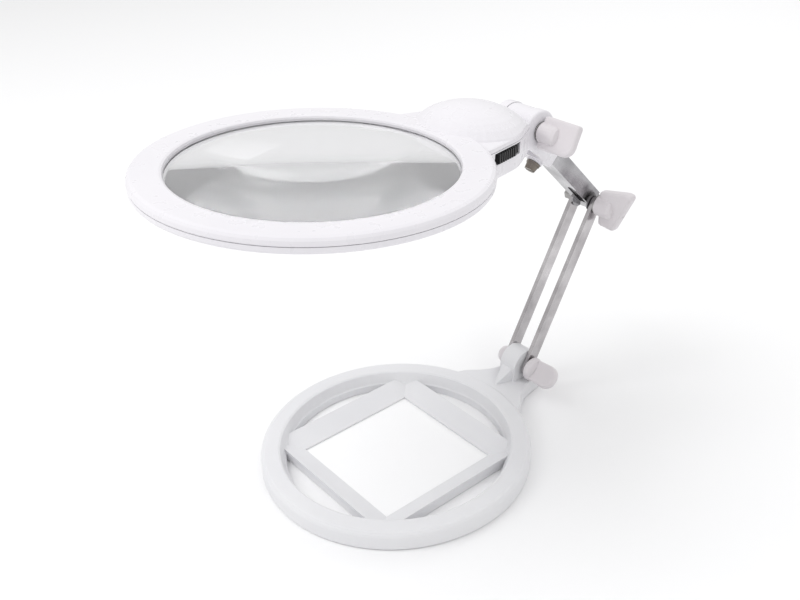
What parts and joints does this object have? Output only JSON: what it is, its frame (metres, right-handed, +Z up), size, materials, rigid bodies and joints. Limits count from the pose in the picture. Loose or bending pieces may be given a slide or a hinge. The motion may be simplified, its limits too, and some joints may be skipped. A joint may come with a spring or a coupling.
{
  "type": "magnifying lamp",
  "caption": "Desk magnifier with a large round lens in a ring head with a battery handle, on a folding metal arm clamped by wing knobs above a ring-shaped base.",
  "frame": {"origin": "bottom centre of the lamp's bounding box as it stands in use, on the surface it stands on", "axes": "+Z up; +X along the three hinge bolts, towards the wing knobs; +Y from the user towards the arm, so the user sits at -Y"},
  "size_m": [0.163, 0.2758, 0.1938],
  "materials": {
    "shell_white": "smooth white moulded plastic with a soft gloss",
    "knob_white": "white moulded plastic, slightly warmer than the shells, satin",
    "base_white": "greyish white moulded plastic, fine satin texture",
    "black_plastic": "black moulded plastic, ribbed on the slider",
    "nickel_plate": "bright nickel plated steel strip with faint rolling lines",
    "plain_steel": "zinc plated steel, dull",
    "contact_metal": "plated spring contact strip",
    "lens_clear": "polished clear optical plastic",
    "led_clear": "clear epoxy lens of a white light emitting diode",
    "board_green": "green solder resist",
    "cell_sleeve": "printed foil sleeve without any lettering"
  },
  "bodies": {
    "base": {"base_ring": "base_white", "base_hinge_bolt": "plain_steel", "base_hinge_cap": "knob_white", "base_hinge_washer": "plain_steel"},
    "lower_arm": {"arm_bar_left": "nickel_plate", "arm_bar_right": "nickel_plate"},
    "upper_arm": {"upper_channel": "nickel_plate", "bracket_fork": "shell_white", "fork_screw": "plain_steel", "elbow_bolt": "plain_steel", "elbow_washer": "plain_steel", "head_hinge_bolt": "plain_steel", "head_hinge_cap": "shell_white", "head_hinge_washer": "plain_steel"},
    "head": {"head_top_shell": "shell_white", "head_bottom_shell": "shell_white", "main_lens": "lens_clear", "led_left": "led_clear", "led_right": "led_clear", "battery_1": "cell_sleeve", "battery_2": "cell_sleeve", "battery_3": "cell_sleeve", "battery_contact_front": "contact_metal", "battery_contact_rear": "contact_metal", "circuit_board": "board_green", "switch_housing": "black_plastic", "shell_screw_1": "plain_steel", "shell_screw_2": "plain_steel", "shell_screw_3": "plain_steel", "shell_screw_4": "plain_steel"},
    "base_wing": {"base_knob": "knob_white"},
    "elbow_wing": {"elbow_knob": "knob_white"},
    "head_wing": {"head_knob": "knob_white"},
    "slider": {"switch_slider": "black_plastic"},
    "cover": {"battery_cover": "shell_white"}
  },
  "joints": [
    {"name": "base_hinge", "type": "hinge", "parent": "base", "child": "lower_arm", "pos_m": [0, 0.07833, 0.0175], "axis": [1, 0, 0], "range_deg": [-30, 30]},
    {"name": "elbow_hinge", "type": "hinge", "parent": "lower_arm", "child": "upper_arm", "pos_m": [0, 0.13153, 0.108], "axis": [1, 0, 0], "range_deg": [-40, 30]},
    {"name": "head_tilt", "type": "hinge", "parent": "upper_arm", "child": "head", "pos_m": [0, 0.07614, 0.16848], "axis": [-1, 0, 0], "range_deg": [-50, 60]},
    {"name": "base_knob_turn", "type": "hinge", "parent": "base", "child": "base_wing", "pos_m": [0.02, 0.07833, 0.0175], "axis": [1, 0, 0], "continuous": true},
    {"name": "elbow_knob_turn", "type": "hinge", "parent": "upper_arm", "child": "elbow_wing", "pos_m": [0.022, 0.13153, 0.108], "axis": [1, 0, 0], "continuous": true},
    {"name": "head_knob_turn", "type": "hinge", "parent": "upper_arm", "child": "head_wing", "pos_m": [0.026, 0.07614, 0.16848], "axis": [1, 0, 0], "continuous": true},
    {"name": "switch_slide", "type": "slide", "parent": "head", "child": "slider", "axis": [-0.2334, 0.9705, -0.06], "range_m": [0, 0.004]},
    {"name": "cover_slide", "type": "slide", "parent": "head", "child": "cover", "axis": [0, -0.9981, 0.0617], "range_m": [0, 0.045]}
  ]
}
